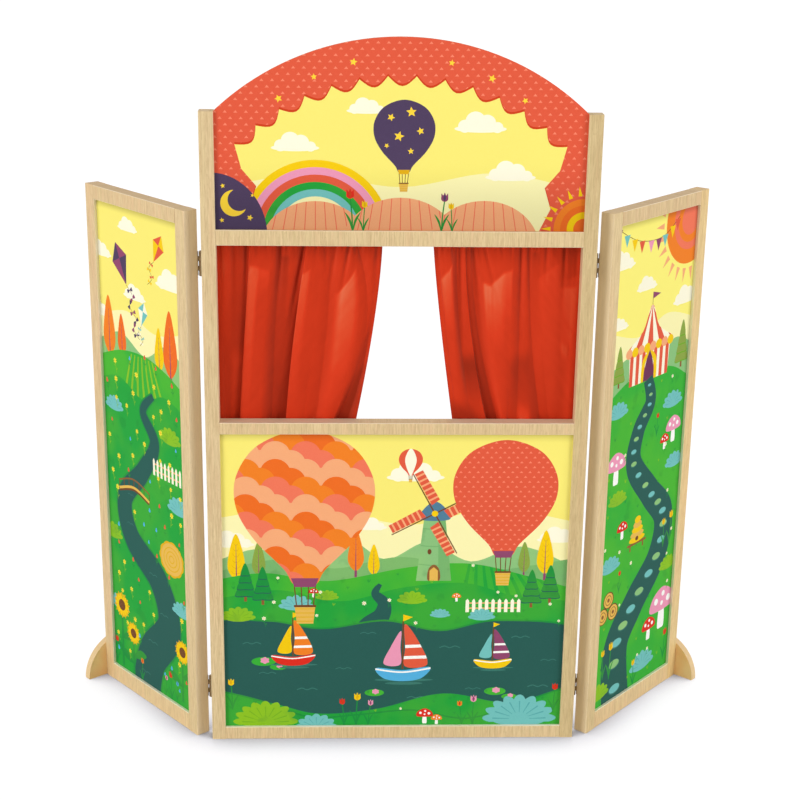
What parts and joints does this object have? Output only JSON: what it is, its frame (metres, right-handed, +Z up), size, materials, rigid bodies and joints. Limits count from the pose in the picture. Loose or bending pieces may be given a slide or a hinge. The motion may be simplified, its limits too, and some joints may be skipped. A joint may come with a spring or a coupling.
{
  "type": "puppet theatre",
  "caption": "Floor-standing folding puppet theatre with an arched top, a curtained stage opening, printed panels and two hinged side wings.",
  "frame": {"origin": "middle of the centre frame's footprint, on the floor", "axes": "+Z up, -Y towards the audience, +X to the right as seen by the audience"},
  "size_m": [1.0924, 0.259, 1.148],
  "materials": {
    "beech": "clear matt lacquer on pale beech",
    "plywood": "clear matt lacquer on birch plywood",
    "dowel": "plain beech",
    "arch_print": "satin print on hardboard",
    "lower_print": "satin print on hardboard",
    "wing_print": "satin print on hardboard",
    "steel": "zinc plated",
    "bracket": "white moulded",
    "brass": "brass plated, dull",
    "satin": "red satin cloth"
  },
  "bodies": {
    "centre_frame": {"left_post": "beech", "right_post": "beech", "top_rail": "beech", "middle_rail": "beech", "bottom_rail": "beech", "arched_panel": "arch_print", "lower_panel": "lower_print", "frame_dowels": "dowel", "curtain_rod": "steel", "left_rod_bracket": "bracket", "right_rod_bracket": "bracket", "bracket_screws": "steel", "left_upper_frame_leaf": "brass", "left_lower_frame_leaf": "brass", "right_upper_frame_leaf": "brass", "right_lower_frame_leaf": "brass", "left_hinge_pins": "brass", "right_hinge_pins": "brass", "frame_hinge_screws": "brass"},
    "left_wing": {"left_upper_wing_leaf": "brass", "left_lower_wing_leaf": "brass", "left_wing_hinge_screws": "brass", "left_inner_stile": "beech", "left_outer_stile": "beech", "left_wing_top_rail": "beech", "left_wing_bottom_rail": "beech", "left_wing_panel": "wing_print", "left_wing_dowels": "dowel", "left_foot": "plywood", "left_foot_screws": "steel"},
    "right_wing": {"right_upper_wing_leaf": "brass", "right_lower_wing_leaf": "brass", "right_wing_hinge_screws": "brass", "right_inner_stile": "beech", "right_outer_stile": "beech", "right_wing_top_rail": "beech", "right_wing_bottom_rail": "beech", "right_wing_panel": "wing_print", "right_wing_dowels": "dowel", "right_foot": "plywood", "right_foot_screws": "steel"},
    "left_curtain": {"left_curtain": "satin"},
    "right_curtain": {"right_curtain": "satin"}
  },
  "joints": [
    {"name": "left_wing_fold", "type": "hinge", "parent": "centre_frame", "child": "left_wing", "pos_m": [-0.3025, 0.016, 0], "axis": [0, 0, -1], "range_deg": [-59, 129]},
    {"name": "right_wing_fold", "type": "hinge", "parent": "centre_frame", "child": "right_wing", "pos_m": [0.3025, 0.016, 0], "axis": [0, 0, 1], "range_deg": [-56, 132]},
    {"name": "left_curtain_slide", "type": "slide", "parent": "centre_frame", "child": "left_curtain", "axis": [-1, 0, 0], "range_m": [-0.024, 0.15], "deforming": ["left_curtain"]},
    {"name": "right_curtain_slide", "type": "slide", "parent": "centre_frame", "child": "right_curtain", "axis": [1, 0, 0], "range_m": [-0.05, 0.13], "deforming": ["right_curtain"]}
  ]
}
